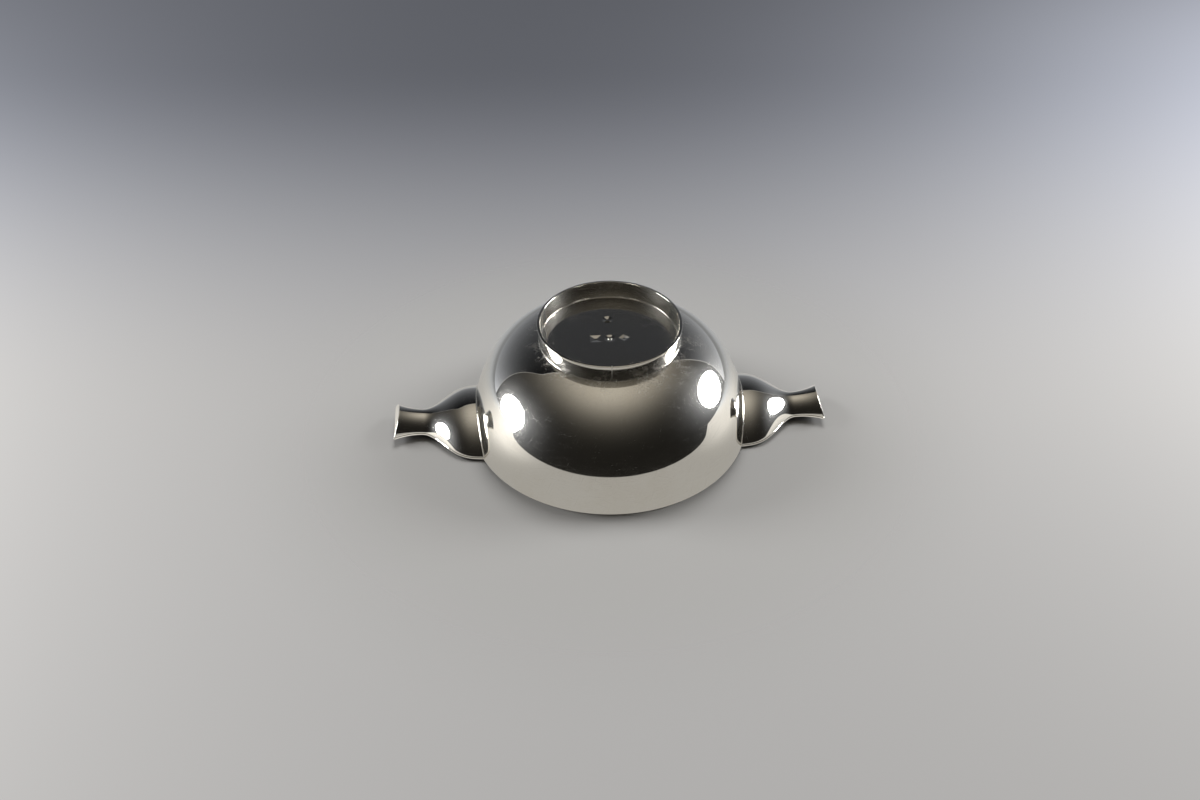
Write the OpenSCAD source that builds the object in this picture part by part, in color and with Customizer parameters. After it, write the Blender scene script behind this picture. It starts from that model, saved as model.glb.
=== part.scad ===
// Silver quaich: a shallow two-handled drinking bowl on a ring foot.
// It stands upright. The origin is at the middle of the foot's standing face,
// +Z runs up through the mouth and +X runs through the right lug. Lengths are in millimetres.

/* [Bowl] */
// Outer diameter of the mouth
mouth_d = 76; // [60:0.5:120]
// Outer depth from the rim down to the flat of the base
bowl_depth = 29.6; // [22:0.1:36]
// Radius of the wall's curve, which stands upright at the rim
wall_curve_r = 40; // [38:0.5:48]
// Radius of the curve that turns the wall into the base
base_curve_r = 21.5; // [14:0.5:24]
// Thickness of the raised sheet
bowl_sheet = 1.1; // [0.7:0.05:2]

/* [Foot] */
// Outer diameter of the foot where it stands
foot_d = 38.8; // [30:0.2:46]
// Height of the foot from where it stands to the flat of the base
foot_h = 4.6; // [4.5:0.1:9]
// Lean of the foot's wall, outwards towards where it stands
foot_flare = 3; // [0:0.5:15]
// Thickness of the foot's strip
foot_strip = 0.8; // [0.6:0.05:1.6]

/* [Lugs] */
// Reach of a lug past the rim
lug_reach = 21.65; // [17:0.05:30]
// Width of a lug where it meets the bowl
lug_root_w = 28.8; // [22:0.2:36]
// Depth of a lug where it meets the bowl
lug_root_depth = 9.8; // [7:0.1:14]
// Width of a lug at its waist
lug_waist_w = 8.7; // [7:0.1:16]
// Depth of a lug at its waist
lug_waist_depth = 4.7; // [3.5:0.1:8]
// Distance inside the rim's circle where the lug starts to narrow
lug_curve_inset = 2.6; // [0:0.1:3]
// Lateness of the narrowing: 1 is even, and more keeps the root full for longer
lug_fall_lag = 1.5; // [1:0.05:1.8]
// Distance of the waist from the lug's end
lug_waist_back = 7.8; // [5:0.1:9]
// Width of a lug at its end
lug_end_w = 13.1; // [9:0.1:20]
// Depth of a lug at its end
lug_end_depth = 6.2; // [4:0.1:9]
// Slope of a lug, down towards its end
lug_droop = 4; // [0:0.5:8]
// Drop from the rim to the top of a lug at the bowl's wall
lug_drop = 0.5; // [0.2:0.1:3]
// Lean of a lug's end face, back under the top
lug_rake = 15; // [0:1:25]
// Place on the section's half round where the underside springs from the flat top
lug_spring = 24; // [5:1:35]
// Thickness of the lug's flat top
lug_top_sheet = 0.75; // [0.6:0.05:1.5]
// Thickness of the lug's formed underside
lug_under_sheet = 0.8; // [0.5:0.05:1.2]
// Thickness of the plate that closes the lug's end
lug_end_sheet = 0.8; // [0.5:0.05:1.2]

/* [Solder seams] */
// Gap left between parts for the solder to run in
solder_gap = 0.05; // [0.02:0.01:0.15]
// Reach of the solder fillet along each wall
solder_fillet = 0.35; // [0.3:0.05:0.9]

/* [Base punches] */
// Width of one plain punch mark under the base
punch_w = 3; // [2:0.1:3.5]
// Distance between neighbouring punch marks of the row
punch_pitch = 3.8; // [3.7:0.1:5]
// Distance of the row from the middle of the base
punch_row_set = 1; // [0:0.1:2]
// Distance of the lone punch mark from the row
punch_lone_back = 8.4; // [6:0.1:10]
// Depth of a punch mark
punch_depth = 0.2; // [0.1:0.05:0.4]
// Width of the pip that stands in the middle mark of the row
punch_pip_w = 1; // [0.6:0.1:1.4]

/* [Hidden] */
$fn = 256;

silver = "#d9d7d0";
solder_silver = "#c9c6bd";

// Bowl: the wall's arc and the base's arc meet where both lie on the line of their centres.
mouth_r = mouth_d / 2;
rim_z = foot_h + bowl_depth;
wall_centre = [mouth_r - wall_curve_r, rim_z];
base_centre_z = foot_h + base_curve_r;
base_centre_drop = rim_z - base_centre_z;
base_centre = [
    wall_centre.x + sqrt(pow(wall_curve_r - base_curve_r, 2) - pow(base_centre_drop, 2)),
    base_centre_z
];
arc_meet_angle = asin(base_centre_drop / (wall_curve_r - base_curve_r));
arc_meet_z = rim_z - wall_curve_r * sin(arc_meet_angle);
// How far cutting shapes reach past what they cut
over = 1;

// Foot: a leaning strip that ends where it meets the bowl's curve.
foot_r = foot_d / 2;
foot_top_z = foot_h + base_curve_r;

// Lugs: each has its own frame at the wall, with u outwards, y across and v up from its flat top.
lug_top_z = rim_z - lug_drop;
lug_len = lug_reach / cos(lug_droop);
lug_waist_u = lug_len - lug_waist_back;
lug_curve_start = -lug_curve_inset;
// Place along u, inside the bowl's wall, from which the lug's flat top is drawn
lug_plate_start = sqrt(pow(mouth_r, 2) - pow(lug_root_w / 2, 2)) - mouth_r - lug_curve_inset;
// Depth at which the underside starts, below the flat top and its gap
lug_under_start = lug_top_sheet + solder_gap;
// Sides of the lug's section, and stations along it
lug_sides = 24;
lug_stations = 24;
// Passes that settle a point of a lug's root or of the foot on the bowl
seat_passes = 12;

// Outer radius of the bowl at height z
function bowl_r(z) =
    z >= arc_meet_z
        ? wall_centre.x + sqrt(pow(wall_curve_r, 2) - pow(rim_z - z, 2))
        : base_centre.x + sqrt(pow(base_curve_r, 2) - pow(base_centre.y - z, 2));

// Height of the bowl's underside at radius r
function bowl_z(r) =
    r <= base_centre.x ? foot_h
    : r <= wall_centre.x + wall_curve_r * cos(arc_meet_angle)
        ? base_centre.y - sqrt(pow(base_curve_r, 2) - pow(r - base_centre.x, 2))
        : rim_z - sqrt(pow(wall_curve_r, 2) - pow(r - wall_centre.x, 2));

// Outer radius of the foot's strip at height z, and the height where its middle meets the bowl
function foot_outer_r(z) = foot_r - z * tan(foot_flare);
function foot_seat_z(z = foot_h, pass = 0) =
    pass == seat_passes ? z
    : foot_seat_z(bowl_z(foot_outer_r(z) - foot_strip / 2), pass + 1);

// Size of the lug at u: a smooth fall from root to waist, then a flare to the end
function lug_fall(u) =
    let (way = (u - lug_curve_start) / (lug_waist_u - lug_curve_start))
    (1 + cos(180 * pow(way, lug_fall_lag))) / 2;
function lug_size(u, root, waist, end) =
    u < lug_curve_start ? root
    : u < lug_waist_u ? waist + (root - waist) * lug_fall(u)
    : waist + (end - waist) * pow((u - lug_waist_u) / lug_waist_back, 2);
function lug_half_w(u) = lug_size(u, lug_root_w, lug_waist_w, lug_end_w) / 2;
function lug_depth(u) = lug_size(u, lug_root_depth, lug_waist_depth, lug_end_depth);

// Point of the underside's section at u, grown by "grow", at a share from one edge to the other
function lug_point(u, share, grow) =
    let (
        angle = lug_spring + (180 - 2 * lug_spring) * share,
        sag = (sin(angle) - sin(lug_spring)) / (1 - sin(lug_spring)),
        half_w = lug_half_w(u) + grow,
        depth = lug_depth(u) + grow
    )
    [
        u,
        half_w * cos(angle) / cos(lug_spring),
        -lug_under_start - (depth - lug_under_start) * sag
    ];

// Distance by which a point of the lug's frame falls short of the bowl's wall and its gap
function short_of_wall(p) =
    let (
        x = mouth_r + p.x * cos(lug_droop) + p.z * sin(lug_droop),
        z = lug_top_z - p.x * sin(lug_droop) + p.z * cos(lug_droop)
    )
    bowl_r(z) + solder_gap - norm([x, p.y]);

// Place along u where a line of the section meets the bowl's wall
function seat_u(share, grow, u = 0, pass = 0) =
    pass == seat_passes ? u
    : seat_u(share, grow, u + short_of_wall(lug_point(u, share, grow)), pass + 1);

// Place along u where a line of the section meets the raked end face, or a plane "back" behind it
function end_u(share, grow, back = 0, u = lug_len, pass = 0) =
    pass == seat_passes ? u
    : let (below = -lug_point(u, share, grow).z - lug_top_sheet)
        end_u(share, grow, back, lug_len - back / cos(lug_rake) - below * tan(lug_rake), pass + 1);

// Ring of points on the raked end face, or on a plane "back" behind it, for a section grown by "grow"
function end_ring(grow, back) = [
    for (j = [0 : lug_sides])
        let (share = j / lug_sides)
        lug_point(end_u(share, grow, back), share, grow)
];

// One sheet of points, from the wall to the end, for a section grown by "grow"
function lug_skin(grow) = [
    for (i = [0 : lug_stations])
        for (j = [0 : lug_sides])
            let (
                share = j / lug_sides,
                from = seat_u(share, grow),
                u = from + (end_u(share, grow) - from) * i / lug_stations
            )
            lug_point(u, share, grow)
];

// Two triangles for the four corners a, b, c and d, which run anticlockwise as seen from outside
function quad(a, b, c, d) = [[a, c, b], [a, d, c]];

// Half of the bowl's section, moved inwards by "inset" and open past the rim
module bowl_half_section(inset) {
    reach = mouth_r + wall_curve_r;
    intersection() {
        union() {
            intersection() {
                translate(wall_centre)
                    circle(r = wall_curve_r - inset);
                polygon([
                    wall_centre,
                    wall_centre + reach * [cos(arc_meet_angle), -sin(arc_meet_angle)],
                    wall_centre + [reach, 0]
                ]);
            }
            translate(base_centre)
                circle(r = base_curve_r - inset);
            translate([0, foot_h + inset])
                square([base_centre.x, bowl_depth - inset]);
            translate([0, rim_z])
                square([mouth_r - inset, over]);
        }
        translate([0, foot_h])
            square([mouth_r + over, bowl_depth + over]);
    }
}

// The space that the bowl takes, with the solder's gap around it
module bowl_clearance() {
    rotate_extrude()
        bowl_half_section(-solder_gap);
}

// Half of the foot's section, before it meets the bowl, grown by "grow"
module foot_half_section(grow) {
    slant = grow / cos(foot_flare);
    polygon([
        [foot_r - foot_strip - slant, 0],
        [foot_r + slant, 0],
        [foot_outer_r(foot_top_z) + slant, foot_top_z],
        [foot_outer_r(foot_top_z) - foot_strip - slant, foot_top_z]
    ]);
}

// Plain punch marks: a square, a round with a pip and a lozenge in a row, and a lone round
module punches() {
    cut = over + punch_depth;
    module at_place(x, y) {
        translate([x, y, foot_h - over])
            children();
    }
    at_place(-punch_pitch, punch_row_set)
        translate([0, 0, cut / 2])
            cube([punch_w, punch_w, cut], center = true);
    at_place(0, punch_row_set)
        difference() {
            cylinder(d = punch_w, h = cut);
            cylinder(d = punch_pip_w, h = cut);
        }
    at_place(punch_pitch, punch_row_set)
        translate([0, 0, cut / 2])
            rotate([0, 0, 45])
                cube([punch_w / sqrt(2), punch_w / sqrt(2), cut], center = true);
    at_place(0, punch_row_set - punch_lone_back)
        cylinder(d = punch_w, h = cut);
}

module bowl() {
    color(silver)
        difference() {
            rotate_extrude()
                difference() {
                    bowl_half_section(0);
                    bowl_half_section(bowl_sheet);
                    translate([0, rim_z])
                        square([mouth_r + over, 2 * over]);
                }
            punches();
        }
}

module foot_ring() {
    color(silver)
        difference() {
            rotate_extrude()
                foot_half_section(0);
            bowl_clearance();
        }
}

// Fillets of solder in the corners inside and outside the foot
module foot_solder() {
    seat_z = foot_seat_z();
    color(solder_silver)
        difference() {
            rotate_extrude()
                difference() {
                    translate([foot_outer_r(seat_z) - foot_strip / 2, seat_z])
                        circle(r = foot_strip / 2 + solder_fillet);
                    foot_half_section(solder_gap);
                }
            bowl_clearance();
        }
}

// Places a lug's own frame at the wall, on the right side
module at_lug() {
    translate([mouth_r, 0, lug_top_z])
        rotate([0, lug_droop, 0])
            children();
}

module lug_top_plate() {
    steps = 2 * lug_stations;
    side = [for (i = [0 : steps])
        let (u = lug_curve_start + (lug_len - lug_curve_start) * i / steps)
        [u, lug_half_w(u)]];
    root = [lug_plate_start, lug_half_w(lug_plate_start)];
    outline = concat(
        [root],
        side,
        [for (i = [steps : -1 : 0]) [side[i].x, -side[i].y]],
        [[root.x, -root.y]]
    );
    difference() {
        at_lug()
            translate([0, 0, -lug_top_sheet])
                linear_extrude(lug_top_sheet)
                    polygon(outline);
        bowl_clearance();
    }
}

module lug_underside() {
    row = lug_sides + 1;
    rows = lug_stations + 1;
    inner = row * rows;
    last = row * lug_stations;
    faces = concat(
        [for (i = [0 : lug_stations - 1]) for (j = [0 : lug_sides - 1])
            let (a = i * row + j)
            each quad(a, a + row, a + row + 1, a + 1)],
        [for (i = [0 : lug_stations - 1]) for (j = [0 : lug_sides - 1])
            let (a = inner + i * row + j)
            each quad(a, a + 1, a + row + 1, a + row)],
        [for (j = [0 : lug_sides - 1]) each quad(j, j + 1, inner + j + 1, inner + j)],
        [for (j = [0 : lug_sides - 1])
            let (a = last + j)
            each quad(a, inner + a, inner + a + 1, a + 1)],
        [for (i = [0 : lug_stations - 1])
            let (a = i * row)
            each quad(a, inner + a, inner + a + row, a + row)],
        [for (i = [0 : lug_stations - 1])
            let (a = i * row + lug_sides)
            each quad(a, a + row, inner + a + row, inner + a)]
    );
    at_lug()
        polyhedron(points = concat(lug_skin(0), lug_skin(-lug_under_sheet)), faces = faces);
}

// A D-shaped plate that closes the underside's mouth and leans back under the flat top
module lug_end_plate() {
    row = lug_sides + 1;
    grow = -lug_under_sheet - solder_gap;
    faces = concat(
        [for (j = [1 : lug_sides - 1]) [0, j, j + 1]],
        [for (j = [1 : lug_sides - 1]) [row, row + j + 1, row + j]],
        [for (j = [0 : lug_sides - 1]) each quad(j, j + 1, row + j + 1, row + j)],
        quad(0, row, row + lug_sides, lug_sides)
    );
    at_lug()
        polyhedron(points = concat(end_ring(grow, 0), end_ring(grow, lug_end_sheet)), faces = faces);
}

// A bead of solder in the corner between the lug's underside and the bowl
module lug_solder() {
    row = lug_sides + 1;
    along = [for (j = [0 : lug_sides])
        let (share = j / lug_sides)
        lug_point(seat_u(share, solder_gap), share, solder_gap)];
    on_lug = [for (j = [0 : lug_sides])
        let (share = j / lug_sides)
        lug_point(seat_u(share, solder_gap) + solder_fillet, share, solder_gap)];
    on_bowl = [for (j = [0 : lug_sides])
        let (share = j / lug_sides, grow = solder_gap + solder_fillet)
        lug_point(seat_u(share, grow), share, grow)];
    faces = concat(
        [for (j = [0 : lug_sides - 1]) each quad(j, j + 1, row + j + 1, row + j)],
        [for (j = [0 : lug_sides - 1]) each quad(row + j, row + j + 1, 2 * row + j + 1, 2 * row + j)],
        [for (j = [0 : lug_sides - 1]) each quad(2 * row + j, 2 * row + j + 1, j + 1, j)],
        [[0, 2 * row, row], [lug_sides, row + lug_sides, 2 * row + lug_sides]]
    );
    at_lug()
        polyhedron(points = concat(along, on_lug, on_bowl), faces = faces);
}

// The left lug is the right one turned half round
module to_left() {
    rotate([0, 0, 180])
        children();
}

module right_lug_top_plate() {
    color(silver)
        lug_top_plate();
}

module right_lug_underside() {
    color(silver)
        lug_underside();
}

module right_lug_end_plate() {
    color(silver)
        lug_end_plate();
}

module right_lug_solder() {
    color(solder_silver)
        lug_solder();
}

module left_lug_top_plate() {
    color(silver)
        to_left()
            lug_top_plate();
}

module left_lug_underside() {
    color(silver)
        to_left()
            lug_underside();
}

module left_lug_end_plate() {
    color(silver)
        to_left()
            lug_end_plate();
}

module left_lug_solder() {
    color(solder_silver)
        to_left()
            lug_solder();
}

bowl();
foot_ring();
foot_solder();
right_lug_top_plate();
right_lug_underside();
right_lug_end_plate();
right_lug_solder();
left_lug_top_plate();
left_lug_underside();
left_lug_end_plate();
left_lug_solder();
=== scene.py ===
import math
from contextlib import contextmanager

import bpy
from bpy.props import FloatProperty, FloatVectorProperty, PointerProperty
from bpy.types import Operator, Panel, PropertyGroup
from mathutils import Matrix, Vector


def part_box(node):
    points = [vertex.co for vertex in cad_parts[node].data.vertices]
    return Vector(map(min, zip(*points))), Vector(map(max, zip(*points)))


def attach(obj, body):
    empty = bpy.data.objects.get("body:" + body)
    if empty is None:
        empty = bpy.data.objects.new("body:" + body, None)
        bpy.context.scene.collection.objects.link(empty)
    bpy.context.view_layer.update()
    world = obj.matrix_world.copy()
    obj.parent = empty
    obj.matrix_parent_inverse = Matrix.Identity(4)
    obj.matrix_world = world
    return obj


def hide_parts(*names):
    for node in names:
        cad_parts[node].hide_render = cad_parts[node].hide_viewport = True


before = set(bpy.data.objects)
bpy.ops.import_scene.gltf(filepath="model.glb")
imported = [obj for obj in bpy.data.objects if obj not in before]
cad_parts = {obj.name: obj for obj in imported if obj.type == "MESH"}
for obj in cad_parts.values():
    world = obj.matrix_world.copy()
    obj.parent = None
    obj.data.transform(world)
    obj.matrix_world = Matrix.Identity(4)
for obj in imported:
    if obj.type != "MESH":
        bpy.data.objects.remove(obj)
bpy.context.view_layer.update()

bl_info = {
    "name": "Silver quaich",
    "version": (1, 0, 0),
    "blender": (4, 5, 0),
    "location": "View3D > Sidebar > Quaich",
    "description": "Models a polished silver quaich, its finish and the stage that it is shown on",
    "category": "Add Mesh",
}

RIM_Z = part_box("bowl")[1].z
FOOT_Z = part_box("foot_ring")[0].z
MM = 0.001
BODY = "root"
SIDES = ("right", "left")


# Properties that a user would change

def length(name, description, millimetres):
    """A length in metres, from its millimetres."""
    return FloatProperty(name=name, description=description, default=millimetres * MM,
                         unit="LENGTH", precision=5)


def lean(name, description, degrees):
    """An angle in radians, from its degrees."""
    return FloatProperty(name=name, description=description, default=math.radians(degrees),
                         subtype="ANGLE")


def amount(name, description, value):
    """A plain number."""
    return FloatProperty(name=name, description=description, default=value, precision=4)


def colour(name, description, value):
    """A colour, as linear red, green and blue."""
    return FloatVectorProperty(name=name, description=description, default=value, subtype="COLOR",
                               size=3, min=0.0, soft_max=1.0)


class QuaichBowl(PropertyGroup):
    """Sizes of the raised bowl."""
    mouth_d: length("Mouth", "Outer diameter of the mouth", 76)
    depth: length("Depth", "Outer depth from the rim to the base", 29.6)
    wall_curve_r: length("Wall curve", "Radius of the wall, upright at the rim", 40)
    base_curve_r: length("Base curve", "Radius from the wall into the base", 21.5)
    sheet: length("Sheet", "Thickness of the raised sheet", 1.1)
    rim_round: length("Rim rounding", "Rounding of the rim's edges", 0.15)


class QuaichFoot(PropertyGroup):
    """Sizes of the ring foot."""
    diameter: length("Foot", "Outer diameter where the foot stands", 38.8)
    height: length("Foot height", "Height from where it stands to the base", 4.6)
    flare: lean("Flare", "Outward lean of the foot's outside, from the bowl down", 4.8)
    inner_flare: lean("Inner flare", "Outward lean of the foot's inside, from the bowl down", 3)
    strip: length("Strip", "Thickness of the foot's strip", 0.8)
    outer_round: length("Outer rounding", "Rounding of the standing edge outside", 0.1)
    inner_round: length("Inner rounding", "Rounding of the standing edge inside", 0.12)
    edge_lift: length("Edge lift", "Lift of the standing edge outside, as the strip is cut", 0.11)


class QuaichLug(PropertyGroup):
    """Sizes of a lug."""
    reach: length("Reach", "Reach of a lug past the rim", 21.65)
    root_w: length("Root width", "Width where the lug meets the bowl", 28.8)
    root_depth: length("Root depth", "Depth where the lug meets the bowl", 9.8)
    waist_w: length("Waist width", "Width at the waist", 8.7)
    waist_depth: length("Waist depth", "Depth at the waist", 4.7)
    curve_inset: length("Curve inset", "Distance inside the rim where a lug starts to narrow", 2.6)
    fall_lag: amount("Fall lag", "Lateness of the narrowing, where 1 is even", 1.5)
    waist_back: length("Waist back", "Distance of the waist from the lug's end", 7.8)
    end_w: length("End width", "Width at the end", 13.1)
    end_depth: length("End depth", "Depth at the end", 6.2)
    droop: lean("Droop", "Slope of a lug, down towards its end", 4)
    drop: length("Drop", "Drop from the rim to the lug's top at the wall", 0.5)
    rake: lean("Rake", "Lean of the end face, back under the top", 15)
    spring: lean("Spring", "Place on the half round where the underside leaves the top", 24)
    top_sheet: length("Top sheet", "Thickness of the flat top", 0.75)
    under_sheet: length("Underside sheet", "Thickness of the formed underside", 0.8)
    end_sheet: length("End sheet", "Thickness of the end plate", 0.8)
    edge_round: length("Lug rounding", "Rounding of the lug's edges", 0.1)
    top_round: length("Top rounding", "Rounding of the flat top's edges", 0.3)


class QuaichSeam(PropertyGroup):
    """Sizes of the solder seams and the punch marks."""
    gap: length("Gap", "Gap that the solder runs in", 0.05)
    fillet: length("Fillet", "Reach of the solder fillet along each wall", 0.2)
    filed: length("Filed fillet", "Reach of the fillet outside the foot, filed close", 0.12)
    punch_w: length("Punch width", "Width of one plain punch mark", 3)
    punch_pitch: length("Punch pitch", "Distance between punch marks of the row", 3.8)
    punch_row_set: length("Punch row", "Distance of the row from the middle of the base", 1)
    punch_lone_back: length("Lone punch", "Distance of the lone punch mark from the row", 8.4)
    punch_depth: length("Punch depth", "Depth of a punch mark", 0.2)
    punch_pip_w: length("Pip width", "Width of the pip in the middle mark of the row", 1)
    punch_floor: amount("Punch floor", "Share of a punch mark's width that its floor keeps", 0.25)


class QuaichFinish(PropertyGroup):
    """Colours and polish of the metal."""
    silver: colour("Silver", "Colour of the polished silver", (0.955, 0.935, 0.885))
    tarnish: colour("Tarnish", "Colour of the silver where it is dull", (0.90, 0.865, 0.79))
    solder: colour("Solder", "Colour of the polished solder", (0.87, 0.85, 0.80))
    polish: amount("Polish", "Roughness of the bright surface", 0.02)
    haze: amount("Haze", "Share of light that fine scratches scatter", 0.06)
    haze_spread: amount("Haze spread", "Roughness of the scattered share", 0.3)
    foot_wear: amount("Foot wear", "How much duller the foot is inside than outside", 1.6)
    scratch: length("Scratch depth", "Depth of the polishing scratches", 0.0010)
    planish: length("Planish depth", "Depth of the slow waves left by the hammer", 0.0010)


class QuaichStage(PropertyGroup):
    """Camera, lamps and room."""
    camera: FloatVectorProperty(name="Camera", description="Place of the camera", size=3,
                                default=(-0.025361, 0.308878, -0.229686), subtype="TRANSLATION")
    camera_turn: lean("Camera turn", "Turn of the camera about the bowl's axis", 4.218)
    camera_tilt: lean("Camera tilt", "Angle at which the camera looks on to the base", 39.62)
    lens: amount("Lens", "Focal length in millimetres on a 36 mm sensor", 43.5)
    lamp_power: amount("Lamp power", "Power of one side lamp in watts", 2.6)
    lamp_reach: length("Lamp distance", "Distance of a side lamp from the bowl", 600)
    lamp_d: length("Lamp diameter", "Diameter of a side lamp", 318)
    top_power: amount("Top power", "Power of the soft lamp over the mouth in watts", 6.0)
    table: colour("Table", "Colour of the table that the rim rests on", (0.56, 0.555, 0.545))
    fill_power: amount("Fill power", "Power of a lamp that fills the table in watts", 2.45)
    table_edge: length("Table edge", "Distance from the axis to the table's near edge", 110)
    floor: colour("Floor", "Colour of the floor that the foot stands on", (0.494, 0.491, 0.482))
    backdrop: colour("Backdrop", "Colour of the backdrop round the floor", (0.503, 0.491, 0.468))


GROUPS = {
    "quaich_bowl": QuaichBowl,
    "quaich_foot": QuaichFoot,
    "quaich_lug": QuaichLug,
    "quaich_seam": QuaichSeam,
    "quaich_finish": QuaichFinish,
    "quaich_stage": QuaichStage,
}


# Curves of the object, worked out from its sizes

class Form:
    """The quaich's curves. Radius r and height z belong to the bowl's axis. A lug has a frame of
    its own at the wall, with u outwards, y across and v up from its flat top."""

    SEAT_PASSES = 16

    def __init__(self, scene):
        self.bowl = scene.quaich_bowl
        self.foot = scene.quaich_foot
        self.lug = scene.quaich_lug
        self.seam = scene.quaich_seam
        self.mouth_r = self.bowl.mouth_d / 2
        self.base_z = self.foot.height
        self.rim_z = self.base_z + self.bowl.depth
        arm = self.bowl.wall_curve_r - self.bowl.base_curve_r
        drop = self.bowl.depth - self.bowl.base_curve_r
        self.wall_x = self.mouth_r - self.bowl.wall_curve_r
        self.curve_x = self.wall_x + math.sqrt(arm ** 2 - drop ** 2)
        self.curve_z = self.base_z + self.bowl.base_curve_r
        self.meet = math.asin(drop / arm)
        self.meet_r = self.wall_x + self.bowl.wall_curve_r * math.cos(self.meet)
        self.meet_z = self.rim_z - self.bowl.wall_curve_r * math.sin(self.meet)
        self.lug_len = self.lug.reach / math.cos(self.lug.droop)
        self.waist_u = self.lug_len - self.lug.waist_back
        self.under_start = self.lug.top_sheet + self.seam.gap
        self.lug_frame = (Matrix.Translation((self.mouth_r, 0, self.rim_z - self.lug.drop))
                          @ Matrix.Rotation(self.lug.droop, 4, "Y"))

    def bowl_r(self, z):
        """Outer radius of the bowl at height z."""
        if z >= self.meet_z:
            return self.wall_x + math.sqrt(self.bowl.wall_curve_r ** 2 - (self.rim_z - z) ** 2)
        return self.curve_x + math.sqrt(self.bowl.base_curve_r ** 2 - (self.curve_z - z) ** 2)

    def bowl_z(self, r):
        """Height of the bowl's underside at radius r."""
        if r <= self.curve_x:
            return self.base_z
        if r <= self.meet_r:
            return self.curve_z - math.sqrt(self.bowl.base_curve_r ** 2 - (r - self.curve_x) ** 2)
        return self.rim_z - math.sqrt(self.bowl.wall_curve_r ** 2 - (r - self.wall_x) ** 2)

    def foot_r(self, z, inset=0.0):
        """Radius of the foot's outside at height z, or of its inside, further in by inset."""
        flare = self.foot.inner_flare if inset else self.foot.flare
        return self.foot.diameter / 2 - inset - z * math.tan(flare)

    def foot_top(self, inset=0.0):
        """Radius and height where the foot's wall meets the bowl."""
        z = self.base_z
        for _ in range(self.SEAT_PASSES):
            z = self.bowl_z(self.foot_r(z, inset)) - self.seam.gap
        return self.foot_r(z, inset), z

    def lug_size(self, u, root, waist, end):
        """A smooth fall from root to waist, then a flare to the end."""
        start = -self.lug.curve_inset
        if u < start:
            return root
        if u < self.waist_u:
            way = ((u - start) / (self.waist_u - start)) ** self.lug.fall_lag
            return waist + (root - waist) * (1 + math.cos(math.pi * way)) / 2
        return waist + (end - waist) * ((u - self.waist_u) / self.lug.waist_back) ** 2

    def lug_half_w(self, u):
        """Half of the lug's width at u."""
        return self.lug_size(u, self.lug.root_w, self.lug.waist_w, self.lug.end_w) / 2

    def lug_depth(self, u):
        """Depth of the lug at u, from its flat top down."""
        return self.lug_size(u, self.lug.root_depth, self.lug.waist_depth, self.lug.end_depth)

    def lug_point(self, u, share, grow=0.0):
        """Point of the underside's section at u, at a share of the way from edge to edge."""
        spring = self.lug.spring
        turn = spring + (math.pi - 2 * spring) * share
        sag = (math.sin(turn) - math.sin(spring)) / (1 - math.sin(spring))
        half_w = self.lug_half_w(u) + grow
        depth = self.lug_depth(u) + grow
        return Vector((u, half_w * math.cos(turn) / math.cos(spring),
                       -self.under_start - (depth - self.under_start) * sag))

    def seat(self, point_at):
        """Place along u where point_at(u) meets the bowl's wall and its gap."""
        u = 0.0
        for _ in range(self.SEAT_PASSES):
            place = self.lug_frame @ point_at(u)
            u += self.bowl_r(place.z) + self.seam.gap - math.hypot(place.x, place.y)
        return u

    def rake_u(self, v, back=0.0):
        """Place along u of the leaning end face at height v, moved back by its thickness."""
        fall = (-v - self.lug.top_sheet) * math.tan(self.lug.rake)
        return self.lug_len - back / math.cos(self.lug.rake) - fall

    def end_u(self, share, grow=0.0, back=0.0):
        """Place along u where a line of the section meets the leaning end face."""
        u = self.lug_len
        for _ in range(self.SEAT_PASSES):
            u = self.rake_u(self.lug_point(u, share, grow).z, back)
        return u


# Modelling moves that the pieces share

SHARP = math.radians(40)
MERGE = 0.5e-6
DOWN = Vector((0, 0, -1))


def deselect():
    """Leaves nothing selected, in object mode."""
    if bpy.context.object and bpy.context.object.mode != "OBJECT":
        bpy.ops.object.mode_set(mode="OBJECT")
    bpy.ops.object.select_all(action="DESELECT")


def pick(*pieces):
    """Selects these pieces alone, and makes the first one active."""
    deselect()
    for piece in pieces:
        piece.select_set(True)
    bpy.context.view_layer.objects.active = pieces[0]


def name_new(name):
    """Names the object that was just added."""
    piece = bpy.context.object
    piece.name = name
    piece.data.name = name
    return piece


def modify(piece, kind, **settings):
    """Adds a modifier with these settings and applies it."""
    pick(piece)
    bpy.ops.object.modifier_add(type=kind)
    modifier = piece.modifiers[-1]
    for setting, value in settings.items():
        setattr(modifier, setting, value)
    bpy.ops.object.modifier_apply(modifier=modifier.name)


def join(*pieces):
    """Makes these pieces one, under the first one's name."""
    pick(*pieces)
    bpy.ops.object.join()
    return pieces[0]


def cut(piece, cutter):
    """Takes the cutter out of a piece and throws it away."""
    modify(piece, "BOOLEAN", object=cutter, operation="DIFFERENCE", solver="EXACT")
    bpy.data.objects.remove(cutter)


def move(piece, turn, offset=(0, 0, 0)):
    """Turns a piece about the bowl's axis, shifts it and leaves its place in its mesh."""
    pick(piece)
    bpy.ops.transform.rotate(value=turn, orient_axis="Z", center_override=(0, 0, 0))
    bpy.ops.transform.translate(value=offset)
    bpy.ops.object.transform_apply(location=True, rotation=True, scale=True)


def soften(piece, width, segments=3):
    """Rounds the sharp edges."""
    modify(piece, "BEVEL", width=width, segments=segments, limit_method="ANGLE",
           angle_limit=SHARP, use_clamp_overlap=True)


@contextmanager
def editing(piece, action="SELECT"):
    """Edit mode on one piece, with its whole mesh selected or deselected first."""
    pick(piece)
    bpy.ops.object.mode_set(mode="EDIT")
    bpy.ops.mesh.select_all(action=action)
    yield
    bpy.ops.object.mode_set(mode="OBJECT")


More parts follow.
